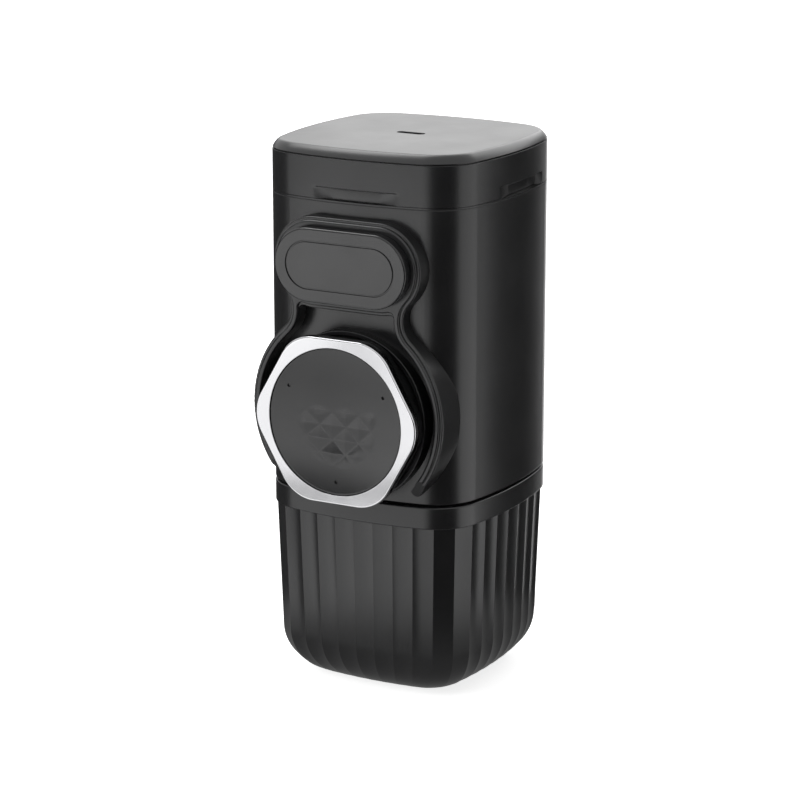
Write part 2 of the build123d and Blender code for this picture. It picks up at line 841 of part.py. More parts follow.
def make_filter_basket():
    outer = rod(basket_radius, basket_bottom, basket_top)
    outer = fillet(outer.edges().group_by(Axis.Z)[0], basket_rounding)
    outer += rod(basket_flange_radius, basket_seat, basket_top)
    inner = rod(basket_radius - basket_wall, basket_bottom + basket_wall, basket_top + overrun)
    basket = outer - fillet(inner.edges().group_by(Axis.Z)[0], basket_rounding - basket_wall)
    spacing = (basket_radius - basket_rounding) / (hole_ring_count + 1 / 2)
    return basket - hole_rings(basket_hole, spacing, basket_bottom, basket_bottom + basket_wall)


def make_portafilter():
    body = rod(filter_radius, filter_bottom, filter_top)
    body = fillet(body.edges().group_by(Axis.Z)[0], filter_floor / 2)
    body -= rod(filter_inner, filter_room_bottom, filter_top + overrun)
    body -= rod(filter_radius - filter_rim_wall, basket_seat, filter_top + overrun)
    body -= rod(nozzle_socket, filter_bottom - overrun, filter_top)
    rim_inner = filter_radius - filter_rim_wall
    lug_low = filter_lug_top - filter_lug_height
    for lug in range(lug_count):
        start = 360 * lug / lug_count
        body += sector(rim_inner, filter_lug_radius, lug_low, filter_lug_top, start, lug_sweep)
    ribs = []
    for rib in range(rib_count):
        at = Vector(filter_radius + rib_radius / 2, 0).rotate(Axis.Z, 360 * rib / rib_count)
        ribs.append(rod(rib_radius, filter_bottom - overrun, filter_bottom + rib_height, at.X, at.Y))
    return body - ribs


def make_outlet_nozzle():
    collar_low = filter_bottom - nozzle_collar
    nozzle = rod(nozzle_socket - seat_gap, filter_bottom, filter_room_bottom)
    nozzle += rod(nozzle_collar_radius, collar_low, filter_bottom)
    tip = Pos(0, 0, collar_low - nozzle_taper / 2)
    nozzle += tip * Cone(nozzle_tip_radius, nozzle_collar_radius, nozzle_taper)
    return nozzle - rod(nozzle_bore, collar_low - nozzle_taper - overrun, filter_room_bottom + overrun)


def guard_neck():
    """Centre of the neck arc, which touches both the arm's circle and the badge rim's end circle."""
    arm = guard_arm_radius + guard_neck_radius
    rim_radius = (badge_height + guard_width) / 2
    rim = rim_radius + guard_neck_radius
    across = (badge_length - badge_height) / 2
    up = badge_rise - guard_rise
    apart = math.hypot(across, up)
    along = (apart ** 2 + arm ** 2 - rim ** 2) / (2 * apart)
    aside = math.sqrt(arm ** 2 - along ** 2)
    x = (across * along + up * aside) / apart
    z = guard_rise + (up * along - across * aside) / apart
    return x, z


def wedge(x, z, start, sweep, reach):
    """Triangle fan between two directions from a point."""
    points = [(x, z)]
    for step in range(4):
        angle = math.radians(start + sweep * step / 3)
        points.append((x + reach * math.cos(angle), z + reach * math.sin(angle)))
    return make_face(Polyline(*points, close=True))


def guard_arms(inner, outer):
    """Both arms of the guard between two offsets from their middle line, outwards positive."""
    x, z = guard_neck()
    to_arm = math.degrees(math.atan2(guard_rise - z, -x))
    to_rim = math.degrees(math.atan2(badge_rise - z, (badge_length - badge_height) / 2 - x))
    arm_top = to_arm % 360 - 180
    reach = 2 * guard_arm_radius
    hoop = Circle(guard_arm_radius + outer) - Circle(guard_arm_radius + inner)
    arm = Pos(0, guard_rise) * hoop
    arm = arm & wedge(0, guard_rise, guard_tip_angle, arm_top - guard_tip_angle, reach)
    bend = Circle(guard_neck_radius - inner) - Circle(guard_neck_radius - outer)
    bend = (Pos(x, z) * bend) & wedge(x, z, to_rim % 360, to_arm % 360 - to_rim % 360, reach)
    tip = Vector(guard_arm_radius + (inner + outer) / 2, 0).rotate(Axis.Z, guard_tip_angle)
    arm = arm + bend + Pos(tip.X, tip.Y + guard_rise) * Circle((outer - inner) / 2)
    return arm + mirror(arm, about=Plane.YZ)


def stadium(inset):
    """Outline of the badge, drawn in by an inset."""
    return Pos(0, badge_rise) * SlotOverall(badge_length - 2 * inset, badge_height - 2 * inset)


def guard_outline(width):
    """Badge rim and arms as one outline, with the corners where they part rounded."""
    half = guard_width / 2
    face = stadium(-width) + guard_arms(-half, width - half)
    below = face.vertices().filter_by(lambda corner: corner.Y < badge_rise)
    roots = below.sort_by(lambda corner: abs(corner.X))[2:4]
    room = abs(roots[0].X) - (badge_length - badge_height) / 2
    return fillet(roots, min(guard_root_round, room / 2))


def make_guard_frame():
    step_front = guard_lip - guard_step
    base = guard_outline(guard_width)
    guard = Pos(0, 0, casing_half - overrun) * extrude(base, amount=step_front - casing_half + overrun)
    guard = fillet(guard.edges().group_by(Axis.Z)[-1], edge_round)
    lip = Pos(0, 0, step_front - guard_step) * extrude(guard_outline(guard_bead), amount=2 * guard_step)
    guard += fillet(lip.edges().group_by(Axis.Z)[-1], bead_round)
    guard -= Pos(0, 0, badge_back) * extrude(stadium(-seat_gap), amount=overrun + guard_step)
    for x in (-guard_screw_place, guard_screw_place):
        guard -= rod(screw_radius, 0, guard_lip, x, badge_rise)
        guard -= rod(screw_head_radius + seat_gap, badge_back - screw_head, guard_lip, x, badge_rise)
    guard = front_axis * guard - prism(half_width + seat_gap, 0, top_z)
    tip = Vector(guard_arm_radius, 0).rotate(Axis.Z, guard_tip_angle)
    slope = Pos(0, -guard_lip, knob_z + guard_rise + tip.Y + guard_tip_length) * Rot(guard_tip_slope, 0, 0)
    reach = 2 * guard_arm_radius
    return guard - slope * Pos(0, -reach / 2, -reach / 2) * Box(2 * reach, reach, reach)


def make_badge_plate():
    plate = Pos(0, 0, badge_back) * extrude(stadium(0), amount=badge_front - badge_back)
    plate = fillet(plate.edges().group_by(Axis.Z)[-1], badge_round)
    line = stadium(badge_line_inset) - stadium(badge_line_inset + badge_line_width)
    plate -= Pos(0, 0, badge_front - badge_line_depth) * extrude(line, amount=overrun)
    return front_axis * plate


def make_guard_screws():
    length = badge_back - screw_head - casing_half - seat_gap
    head = badge_back - screw_head
    places = (-guard_screw_place, guard_screw_place)
    return [front_axis * Pos(x, badge_rise, head) * screw(length) for x in places]


parts = {
    "drinking_cup": make_drinking_cup(),
    "body_casing": make_body_casing(),
    "top_lid": make_top_lid(),
    "lid_plug": make_lid_plug(),
    "lid_seal": make_lid_seal(),
    "vent_valve": make_vent_valve(),
    "water_tank": make_water_tank(),
    "intake_strainer": make_intake_strainer(),
    "tank_gasket": make_tank_gasket(),
    "guard_frame": make_guard_frame(),
    "badge_plate": make_badge_plate(),
    "guard_screws": make_guard_screws(),
    "pump_collar": make_pump_collar(),
    "knob_body": make_knob_body(),
    "knob_ring": make_knob_ring(),
    "knob_disc": make_knob_disc(),
    "knob_screw": make_knob_screw(),
    "pump_plunger": make_pump_plunger(),
    "plunger_seal": make_plunger_seal(),
    "plunger_guide": make_plunger_guide(),
    "plunger_spring": make_plunger_spring(),
    "pump_block": make_pump_block(),
    "pump_end_cap": make_pump_end_cap(),
    "end_cap_seal": make_end_cap_seal(),
    "pump_screws": make_pump_screws(),
    "inlet_seat": make_inlet_seat(),
    "inlet_ball": ball(inlet_ball_z),
    "inlet_spring": valve_spring(inlet_room_bottom, inlet_ball_z),
    "outlet_ball": ball(outlet_ball_z),
    "outlet_spring": valve_spring(outlet_room_bottom, outlet_ball_z),
    "duct_seal": make_duct_seal(),
    "block_screws": make_block_screws(),
    "brew_head": make_brew_head(),
    "casing_screws": make_casing_screws(),
    "spigot_ring": make_spigot_ring(),
    "shower_screen": make_shower_screen(),
    "shower_screw": make_shower_screw(),
    "group_gasket": make_group_gasket(),
    "filter_basket": make_filter_basket(),
    "portafilter": make_portafilter(),
    "outlet_nozzle": make_outlet_nozzle(),
}

os.makedirs("parts", exist_ok=True)
for node, shape in parts.items():
    pieces = shape if isinstance(shape, list) else [shape]
    solids = [solid for piece in pieces for solid in piece.solids()]
    export_step(Compound(children=solids), f"parts/{node}.step")
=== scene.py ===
import json
import math

import bpy
import numpy as np
from bpy.props import FloatProperty, FloatVectorProperty, IntProperty, PointerProperty
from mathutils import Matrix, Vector


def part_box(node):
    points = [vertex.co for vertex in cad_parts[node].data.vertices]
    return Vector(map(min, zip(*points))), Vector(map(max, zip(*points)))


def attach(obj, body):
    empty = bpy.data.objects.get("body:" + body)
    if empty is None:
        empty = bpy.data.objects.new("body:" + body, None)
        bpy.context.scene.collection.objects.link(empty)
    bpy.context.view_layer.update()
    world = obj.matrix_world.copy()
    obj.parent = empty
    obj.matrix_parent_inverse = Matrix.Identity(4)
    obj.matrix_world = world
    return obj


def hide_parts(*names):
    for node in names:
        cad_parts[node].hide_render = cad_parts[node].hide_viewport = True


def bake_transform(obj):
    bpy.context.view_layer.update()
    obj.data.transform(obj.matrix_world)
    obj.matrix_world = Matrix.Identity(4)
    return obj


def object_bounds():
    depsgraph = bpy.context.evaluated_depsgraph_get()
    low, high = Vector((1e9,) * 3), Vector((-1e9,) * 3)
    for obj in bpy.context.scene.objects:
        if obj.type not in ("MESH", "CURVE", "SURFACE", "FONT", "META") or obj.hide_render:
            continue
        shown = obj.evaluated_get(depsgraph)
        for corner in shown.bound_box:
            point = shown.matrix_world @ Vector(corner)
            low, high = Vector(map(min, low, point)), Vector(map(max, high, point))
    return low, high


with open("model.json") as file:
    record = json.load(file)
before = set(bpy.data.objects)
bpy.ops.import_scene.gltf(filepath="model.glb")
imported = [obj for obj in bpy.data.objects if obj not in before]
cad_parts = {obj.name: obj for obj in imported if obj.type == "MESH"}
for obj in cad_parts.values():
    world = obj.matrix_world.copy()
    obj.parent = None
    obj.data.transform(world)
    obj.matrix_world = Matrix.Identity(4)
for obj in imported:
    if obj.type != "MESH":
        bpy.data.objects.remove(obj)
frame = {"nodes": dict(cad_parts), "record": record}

bl_info = {
    "name": "Pocket coffee maker",
    "version": (1, 0, 0),
    "blender": (4, 5, 0),
    "location": "View3D > Sidebar > Coffee maker",
    "description": "Fine surfaces, finishes and studio for a hand-pumped pocket coffee maker",
    "category": "Object",
}

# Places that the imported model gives, in metres: +Z up, -Y to the front, the origin under the cup
cad_low, cad_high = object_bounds()
cup_low, cup_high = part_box("drinking_cup")
lid_low, lid_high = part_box("top_lid")
badge_low, badge_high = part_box("badge_plate")
ring_low, ring_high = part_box("knob_ring")
disc_low, disc_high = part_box("knob_disc")
half_width = cad_high.x
knob_z = (ring_low.z + ring_high.z) / 2
slot_of = {part["node"]: part["material_slot"] for part in frame["record"]["subparts"]}

# Millimetres in a metre
PER_METRE = 1000
# Angle between two faces past which their edge is drawn sharp
SHARP_EDGE = math.radians(28)
# A noise texture mostly stays between these two values
NOISE_SPAN = {"From Min": 0.3, "From Max": 0.7}


def linear(code):
    """Linear RGB of an sRGB hex colour: straight near black, and a power of 2.4 above that."""
    value = np.array([int(code[k:k + 2], 16) for k in (0, 2, 4)]) / 255
    return tuple(np.where(value <= 0.04045, value / 12.92, ((value + 0.055) / 1.055) ** 2.4))


def length(name, description, millimetres):
    """Length property, given in millimetres and kept in metres."""
    return FloatProperty(name=name, description=description, default=millimetres / PER_METRE, unit="LENGTH")


def colour(name, description, code):
    """Colour property from an sRGB hex value."""
    return FloatVectorProperty(
        name=name, description=description, default=linear(code), subtype="COLOR", size=3, min=0, max=1)


class MakerOutline(bpy.types.PropertyGroup):
    """Plan outline that the lid, the casing and the cup share."""
    side_radius: length("Side radius", "Radius of the four bulged sides", 116.5)
    corner_radius: length("Corner radius", "Radius of the four corners", 14.1)
    edge_round: length("Edge round", "Rounding of the moulded edges", 0.4)


class MakerCup(bpy.types.PropertyGroup):
    """Fluted drinking cup."""
    band: length("Band", "Height of the plain band at the rim", 6.4)
    wall: length("Wall", "Thickness of the wall at the rim", 2.8)
    floor: length("Floor", "Thickness of the floor", 2.8)
    inset: length("Inset", "Step from the band in to the flutes", 0.4)
    draft: FloatProperty(
        name="Draft", description="Taper of the wall, sideways for each unit down", default=0.037)
    rounding: length("Rounding", "Radius of the bottom edge outside", 15.0)
    inner_rounding: length("Inner rounding", "Radius of the bottom edge inside", 11.0)
    corner_shrink: FloatProperty(
        name="Corner shrink", description="Share of the bottom rounding that the corners lose", default=0.4,
        subtype="FACTOR")
    flutes: IntProperty(name="Flutes", description="Number of hollow flutes", default=38)
    flute_depth: length("Flute depth", "Depth of a flute below its two ridges", 0.42)
    foot_depth: length("Foot depth", "Depth of a flute where it runs out under the cup", 0.06)


class MakerLid(bpy.types.PropertyGroup):
    """Lid with a crowned top, a vent slot and four finger grips."""
    side: length("Side", "Height of the upright side", 11.7)
    crown_width: length("Crown width", "Width of the rounded border of the top", 2.6)
    crown_inset: length("Crown inset", "How far the crown's lower edge stands back from the side", 0.15)
    groove: length("Groove", "Height of the groove between the side and the crown", 0.5)
    groove_depth: length("Groove depth", "Depth of that groove", 0.8)
    groove_rise: FloatProperty(
        name="Groove rise", description="Share of the groove that lies above the side's height", default=0.7,
        subtype="FACTOR")
    side_edge: length("Side edge", "Rounding of the side's upper edge", 0.1)
    reach: length("Reach", "How far the side reaches down into the gap above the casing", 0.25)
    drip: length("Drip", "How far the side's outer edge hangs below that, over the casing's round rim", 0.33)
    tip_round: length("Tip round", "Rounding of the drip edge and of the sunk line's upper edge", 0.03)
    line: length("Line", "Height of the sunk line at the seam", 0.25)
    line_depth: length("Line depth", "Depth of that line", 0.3)
    wall: length("Wall", "Thickness of the side", 2.2)
    roof: length("Roof", "Thickness of the top", 3.0)
    vent_length: length("Vent length", "Length of the vent slot", 8.8)
    vent_width: length("Vent width", "Width of the vent slot", 2.8)
    vent_round: length("Vent round", "Softened edge of the vent slot", 0.08)
    front_grip: FloatVectorProperty(
        name="Front grip", description="Left end, its ramp, right ramp, right end and depth, at the front",
        default=(-0.0128, 0.0052, 0.0055, 0.0146, 0.0013), size=5, unit="LENGTH")
    side_grip: FloatVectorProperty(
        name="Side grip", description="Left end, its ramp, right ramp, right end and depth, at the right",
        default=(-0.0103, 0.007, 0.0005, 0.0173, 0.0016), size=5, unit="LENGTH")
    grip_lean: FloatProperty(
        name="Grip lean", description="Lean of a grip's ends, towards its middle for each unit down",
        default=0.3)
    grip_height: length("Grip height", "Height of a grip above the seam", 3.5)
    grip_lip: length("Grip lip", "Height over which a grip's roof slopes in", 0.3)
    grip_roof: FloatProperty(
        name="Grip roof", description="Share of a grip's depth that its sloping roof reaches", default=0.8,
        subtype="FACTOR")
    grip_ease: length("Grip ease", "Distance below the lip at which a grip has its full depth", 0.9)


class MakerFront(bpy.types.PropertyGroup):
    """Badge and knob on the front."""
    badge_round: length("Badge round", "Rounding of the badge's front edge", 0.5)
    line_inset: length("Line inset", "Distance of the badge's line from its edge", 3.5)
    line_width: length("Line width", "Width of the badge's line", 0.5)
    line_depth: length("Line depth", "Depth of the badge's line", 0.35)
    hex_corner: length("Hexagon corner", "Corner radius of the bright ring", 11.6)
    ring_round: length("Ring round", "Rounding of the ring's outer edge", 0.45)
    ring_inner_round: length("Ring inner round", "Rounding of the ring's inner edge", 0.12)
    ring_gap: length("Ring gap", "Gap between the ring and the disc in it", 0.15)
    disc_round: length("Disc round", "Rounding of the disc's front edge", 0.2)
    dish: length("Dish", "Depth of the disc's hollow in the middle", 1.8)
    quilt_radius: length("Quilt radius", "Radius of the quilted middle of the disc", 13.2)
    quilt_top: length("Quilt top", "Height above the axis at which the quilt ends", 4.0)
    quilt_fade: length("Quilt fade", "Width of the border in which the quilt runs out", 3.0)
    quilt_width: length("Quilt width", "Width of a diamond of the quilt", 8.4)
    quilt_tall: length("Quilt height", "Height of a diamond of the quilt", 8.0)
    quilt_x: length("Quilt place across", "Place of one corner of the quilt to the right of the axis", -1.7)
    quilt_up: length("Quilt place up", "Place of that corner above the axis", -5.5)
    quilt_rise: length("Quilt rise", "Height of a diamond's middle above its edges", 0.26)
    dot_circle: length("Dot circle", "Radius of the circle with three sunk dots", 17.3)
    dot_radius: length("Dot radius", "Radius of a dot", 0.5)
    dot_depth: length("Dot depth", "Depth of a dot", 0.5)


class MakerSprings(bpy.types.PropertyGroup):
    """Springs of the pump and of its two valves."""
    pump_wire: length("Pump wire", "Wire of the plunger's spring", 1.8)
    pump_turns: IntProperty(name="Pump turns", description="Turns of the plunger's spring", default=6)
    valve_wire: length("Valve wire", "Wire of a valve's spring", 0.4)
    valve_turns: IntProperty(name="Valve turns", description="Turns of a valve's spring", default=3)


class MakerFinish(bpy.types.PropertyGroup):
    """Colours of the materials."""
    casing: colour("Casing", "Satin black ABS of the outer mouldings", "1c1c1d")
    gloss: colour("Badge and disc", "Black ABS of the badge and the knob's disc", "1c1c1d")
    bright: colour("Bright ring", "Chrome plating", "c1c1c3")
    inner: colour("Inner mouldings", "Glass-filled plastic inside", "3a3a3c")
    tank: colour("Tank", "Smoke-coloured tank plastic", "4a4c50")
    steel: colour("Steel", "Stainless steel", "c4c4c6")
    silicone: colour("Silicone", "Silicone seals", "55575a")
    floor: colour("Floor", "Studio floor", "f2f2f2")


class MakerStudio(bpy.types.PropertyGroup):
    """Floor, surround and camera."""
    fill: FloatProperty(name="Fill", description="Strength of the surround as a fill light", default=0.28)
    white: FloatProperty(name="White", description="Strength of the surround where it is seen", default=1.0)
    floor_gloss: FloatProperty(
        name="Floor in gloss", description="Glow added to the floor where gloss shows it", default=0.75)
    floor_seen: FloatProperty(
        name="Floor seen", description="Glow added to the floor where the camera sees it", default=0.78)
    floor_half: length("Floor half", "Half the width of the floor", 6000)
    lens: length("Lens", "Focal length of the camera", 131.83)
    sensor: length("Sensor", "Width of the camera's sensor", 36)
    camera_place: FloatVectorProperty(
        name="Camera place", description="Where the camera stands", default=(0.39574, -0.71783, 0.29355),
        subtype="XYZ", unit="LENGTH")
    camera_aim: FloatVectorProperty(
        name="Camera aim", description="Point at the middle of the picture",
        default=(-0.002724, -0.001515, 0.07959), subtype="XYZ", unit="LENGTH")


# Lamps, all turned to one point on the object: name, place, width and height in metres, watts, and whether
# gloss shows the lamp
LAMP_AIM = (0.0, 0.0, 0.09)
LAMPS = (
    ("key_softbox", (-0.75, -1.1, 0.75), (0.9, 0.9), 8.5, False),
    ("top_softbox", (-0.56, 0.14, 1.2), (1.0, 0.5), 8.0, True),
    ("left_back_softbox", (-0.55, 1.05, 0.75), (0.9, 1.1), 2.3, True),
    ("right_back_softbox", (0.16, 1.16, 0.83), (1.0, 0.7), 4.5, True),
)

# Tips of the cards' sectors: under the middle, under the knob's front and just inside two corners
MIDDLE = (0.0, 0.0)
KNOB_FRONT = (0.0, ring_low.y)
RIGHT_CORNER = (0.9 * half_width, -0.7 * half_width)
LEFT_CORNER = (-0.9 * half_width, -0.9 * half_width)

# Cards round the object, seen only in gloss, where they shade the reflections: name, tip, first and last
# angle in degrees from the front towards the right, inner and outer radius and the height of the wall at
# the outer one in metres, and brightness. Each lies higher than the one before it by the lift.
CARD_LIFT = 0.0001
CARDS = (
    ("right_front_card", MIDDLE, (14, 76), (0.06, 1.2), 0.3, 0.0),
    ("right_back_card", RIGHT_CORNER, (134.5, 177.5), (0.0, 1.2), 0.5, 0.03),
    ("left_card", LEFT_CORNER, (-150, -56), (0.0, 1.2), 0.3, 0.06),
    ("front_card", MIDDLE, (-58, 14), (1.1, 1.2), 0.35, 0.0),
    ("front_glow", KNOB_FRONT, (-52, 5), (0.5, 1.05), 0.0, 2.6),
    ("near_band", KNOB_FRONT, (-50, -5), (0.19, 0.235), 0.0, 0.8),
    ("dark_stripe", KNOB_FRONT, (-30.4, -29.2), (0.235, 0.5), 0.0, 1.0),
    ("middle_stripe", KNOB_FRONT, (-29.2, -28.0), (0.235, 0.5), 0.0, 1.2),
    ("pale_stripe", KNOB_FRONT, (-28.0, -26.8), (0.235, 0.5), 0.0, 1.4),
    ("foot_card", MIDDLE, (0, 360), (0.0, 0.08), 0.0, 0.3),
)


def add(tree, kind, inputs=None, **settings):
    """Adds a node: settings are its properties, and inputs are values or sockets to link from."""
    node = tree.nodes.new(kind)
    for key, value in settings.items():
        setattr(node, key, value)
    for key, value in (inputs or {}).items():
        if isinstance(value, bpy.types.NodeSocket):
            tree.links.new(value, node.inputs[key])
        else:
            node.inputs[key].default_value = value
    return node


def fresh(name):
    """Empty node material of that name."""
    material = bpy.data.materials.get(name) or bpy.data.materials.new(name)
    material.use_nodes = True
    material.node_tree.nodes.clear()
    return material, material.node_tree


def per_mm(size):
    """Texture scale whose features are that many millimetres wide on Object coordinates in metres."""
    return PER_METRE / size


def moulded(name, base, roughness, spread, ior, grain, grain_height, drift_width=14, tint_spread=0.08):
    """Moulded plastic: a fine eroded grain in the bump, and gloss and tint that drift over the surface.

    The width of the grain, its height and the width of the drift are in millimetres.
    """
    material, tree = fresh(name)
    place = add(tree, "ShaderNodeTexCoord").outputs["Object"]
    drift = add(tree, "ShaderNodeTexNoise", {"Vector": place, "Scale": per_mm(drift_width), "Detail": 3.0})
    pores = add(tree, "ShaderNodeTexNoise", {"Vector": place, "Scale": per_mm(grain), "Detail": 2.0})
    gloss = add(tree, "ShaderNodeMapRange", {
        "Value": drift.outputs["Fac"], **NOISE_SPAN,
        "To Min": roughness - spread, "To Max": roughness + spread})
    bump = add(tree, "ShaderNodeBump", {
        "Height": pores.outputs["Fac"], "Strength": 1.0, "Distance": grain_height / PER_METRE})
    darker, paler = np.array(base) * (1 - tint_spread), np.array(base) * (1 + tint_spread)
    tint = add(tree, "ShaderNodeMix", {
        "Factor": drift.outputs["Fac"], "A": (*darker, 1), "B": (*paler, 1)}, data_type="RGBA")
    shader = add(tree, "ShaderNodeBsdfPrincipled", {
        "Base Color": tint.outputs["Result"], "Roughness": gloss.outputs["Result"],
        "Normal": bump.outputs["Normal"], "IOR": ior})
    add(tree, "ShaderNodeOutputMaterial", {"Surface": shader.outputs["BSDF"]})
    return material


def metal(name, base, roughness, spread, mark):
    """Metal whose gloss varies over fine marks, whose width is in millimetres."""
    material, tree = fresh(name)
    place = add(tree, "ShaderNodeTexCoord").outputs["Object"]
    marks = add(tree, "ShaderNodeTexNoise", {"Vector": place, "Scale": per_mm(mark), "Detail": 4.0})
    gloss = add(tree, "ShaderNodeMapRange", {
        "Value": marks.outputs["Fac"], **NOISE_SPAN,
        "To Min": roughness - spread, "To Max": roughness + spread})
    shader = add(tree, "ShaderNodeBsdfPrincipled", {
        "Base Color": (*base, 1), "Metallic": 1.0, "Roughness": gloss.outputs["Result"]})
    add(tree, "ShaderNodeOutputMaterial", {"Surface": shader.outputs["BSDF"]})
    return material


def finishes():
    """One material for each slot of the record."""
    colours = bpy.context.scene.maker_finish
    return {
        # Satin ABS from a finely eroded tool: soft wide highlights. Its grain of 0.1 mm is drawn 0.35 mm
        # wide, so that it shows.
        "casing_black": moulded(
            "satin_moulded_abs", colours.casing, roughness=0.3, spread=0.02, ior=1.53,
            grain=0.35, grain_height=0.004),
        # ABS from a smoother tool: a little more sheen than the casing.
        "gloss_black": moulded(
            "smooth_moulded_abs", colours.gloss, roughness=0.22, spread=0.02, ior=1.53,
            grain=0.3, grain_height=0.002),
        # Glass-filled plastic: dull, with a coarser skin.
        "inner_grey": moulded(
            "glass_filled_plastic", colours.inner, roughness=0.5, spread=0.04, ior=1.5,
            grain=0.5, grain_height=0.01),
        # Smooth copolyester of the tank.
        "tank_smoke": moulded(
            "smoke_copolyester", colours.tank, roughness=0.25, spread=0.03, ior=1.57,
            grain=0.8, grain_height=0.003),
        # Silicone rubber: matt and slightly uneven.
        "silicone": moulded(
            "silicone_rubber", colours.silicone, roughness=0.6, spread=0.05, ior=1.41,
            grain=0.6, grain_height=0.01),
        # Chrome plating on plastic: a clean mirror with a faint haze.
        "bright_ring": metal("bright_chrome_plating", colours.bright, roughness=0.1, spread=0.02, mark=6.0),
        # Stainless steel, drawn and tumbled: a soft shine, broken up by fine marks.
        "steel": metal("tumbled_stainless_steel", colours.steel, roughness=0.3, spread=0.06, mark=0.5),
    }


def skin(name, rings, body, node, loop=False, first=None, last=None):
    """Mesh through rings of points, each ring closed, that stands for a CAD node.

    Rings run down or back along the outside, and up or forward along the inside. A loop joins the last
    ring to the first, and first and last are points that close an end as a fan.
    """
    rows, columns = rings.shape[:2]
    index = np.arange(rows * columns).reshape(rows, columns)
    below = np.roll(index, -1, axis=0) if loop else index[1:]
    above = index if loop else index[:-1]
    quads = np.stack([above, below, np.roll(below, -1, axis=1), np.roll(above, -1, axis=1)], axis=-1)
    faces = quads.reshape(-1, 4).tolist()
    points = rings.reshape(-1, 3)
    for pole, ring in ((first, index[0][::-1]), (last, index[-1])):
        if pole is not None:
            fan = np.stack([ring, np.full(columns, len(points)), np.roll(ring, -1)], axis=-1)
            faces += fan.tolist()
            points = np.vstack([points, pole])
    mesh = bpy.data.meshes.new(name)
    mesh.from_pydata(points.tolist(), [], faces)
    mesh.shade_smooth()
    mesh.set_sharp_from_angle(angle=SHARP_EDGE)
    mesh.materials.append(finishes()[slot_of[node]])
    piece = bpy.data.objects.new(name, mesh)
    bpy.context.scene.collection.objects.link(piece)
    if body:
        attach(piece, body)
    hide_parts(node)
    return piece


def unit(vector):
    """Vector of length one."""
    return vector / np.linalg.norm(vector)


def rounded(points, radii, steps=7, support=0.0003):
    """Closed profile: each corner becomes an arc of its radius, with a point close to each arc's ends.

    A corner's arc is centred on the bisector, at its radius divided by the sine of half the angle, and
    touches both sides at its radius divided by the tangent of that half.
    """
    points = np.array(points, float)
    runs = []
    for k, radius in enumerate(radii):
        here = points[k]
        if radius == 0:
            runs.append(here[None])
            continue
        back = unit(points[k - 1] - here)
        ahead = unit(points[(k + 1) % len(points)] - here)
        half = math.acos(np.clip(back @ ahead, -1, 1)) / 2
        centre = here + unit(back + ahead) * radius / math.sin(half)
        reach = radius / math.tan(half)
        start = here + back * reach - centre
        turn = math.copysign(math.pi - 2 * half, back[1] * ahead[0] - back[0] * ahead[1])
        angle = math.atan2(start[1], start[0]) + turn * np.linspace(0, 1, steps)
        arc = centre + radius * np.stack([np.cos(angle), np.sin(angle)], axis=-1)
        runs.append(np.vstack([here + back * (reach + support), arc, here + ahead * (reach + support)]))
    return np.vstack(runs)


def outline(share, half, corner, sink=0.0):
    """Points of the squared plan outline at shares of its length, counted from the front middle.

    Each quarter is half a bulged side, a corner arc and half the next side. The sides' arcs are centred
    on the axes, and the corner's arc touches both. A sink moves a point in along its arc's radius.
    """
    shape = bpy.context.scene.maker_outline
    bulge = shape.side_radius - half_width
    side = half + bulge
    centre = (np.sqrt(2 * (side - corner) ** 2 - bulge ** 2) - bulge) / 2
    spread = np.arcsin(centre / (side - corner))
    side_run = side * spread
    quarter = 2 * side_run + corner * (math.pi / 2 - 2 * spread)
    turn = np.floor(4 * share)
    run = (4 * share - turn) * quarter
    early = run <= side_run
    late = run > quarter - side_run
    angle = np.where(early, run / side, np.where(
        late, math.pi / 2 - (quarter - run) / side, spread + (run - side_run) / corner))
    radius = np.where(early | late, side, corner) - sink
    x = np.where(early, 0, np.where(late, -bulge, centre)) + radius * np.sin(angle)
    y = np.where(early, bulge, np.where(late, 0, -centre)) - radius * np.cos(angle)
    turn = turn * math.pi / 2
    return x * np.cos(turn) - y * np.sin(turn), x * np.sin(turn) + y * np.cos(turn)


def parallel(share, offset):
    """Outline points at an offset outside the body's own outline."""
    shape = bpy.context.scene.maker_outline
    return outline(share, half_width + offset, shape.corner_radius + offset)


def stadium(share, long, wide):
    """Points of a slot outline at shares of its length, counted from the front middle.

    A quarter is a straight run and a quarter circle, and the other quarters mirror it.
    """
    radius = wide / 2
    straight = long / 2 - radius
    fold = np.floor(4 * share)
    run = np.where(fold % 2 == 1, 1 - (4 * share - fold), 4 * share - fold)
    run = run * (straight + radius * math.pi / 2)
    angle = np.maximum(run - straight, 0) / radius
    x = np.minimum(run, straight) + radius * np.sin(angle)
    y = radius * np.cos(angle)
    return np.where(fold < 2, x, -x), np.where((fold == 0) | (fold == 3), -y, y)


def hexagon(angle, inset):
    """Points of the knob's rounded hexagon at angles about its middle, corners to the left and right.

    A flat lies at its distance over the cosine from the flat's normal. A corner is an arc whose centre
    stays put as the outline is drawn in.
    """
    front = bpy.context.scene.maker_front
    sixth = math.pi / 6
    flat = (ring_high.z - ring_low.z) / 2
    centre = (flat - front.hex_corner) / math.cos(sixth)
    corner = front.hex_corner - inset
    off = (angle + sixth) % (2 * sixth) - sixth
    arc = centre * np.cos(off) + np.sqrt(corner ** 2 - (centre * np.sin(off)) ** 2)
    straight = (flat - inset) / np.cos(sixth - np.abs(off))
    meet = np.arctan2(corner * math.sin(sixth), centre + corner * math.cos(sixth))
    reach = np.where(np.abs(off) < meet, arc, straight)
    return reach * np.cos(angle), reach * np.sin(angle)


def on_front(x, up, out):
    """Points given across, up from the knob's axis and out to the front, in the model's frame."""
    return np.stack(np.broadcast_arrays(x, -out, knob_z + up), axis=-1)


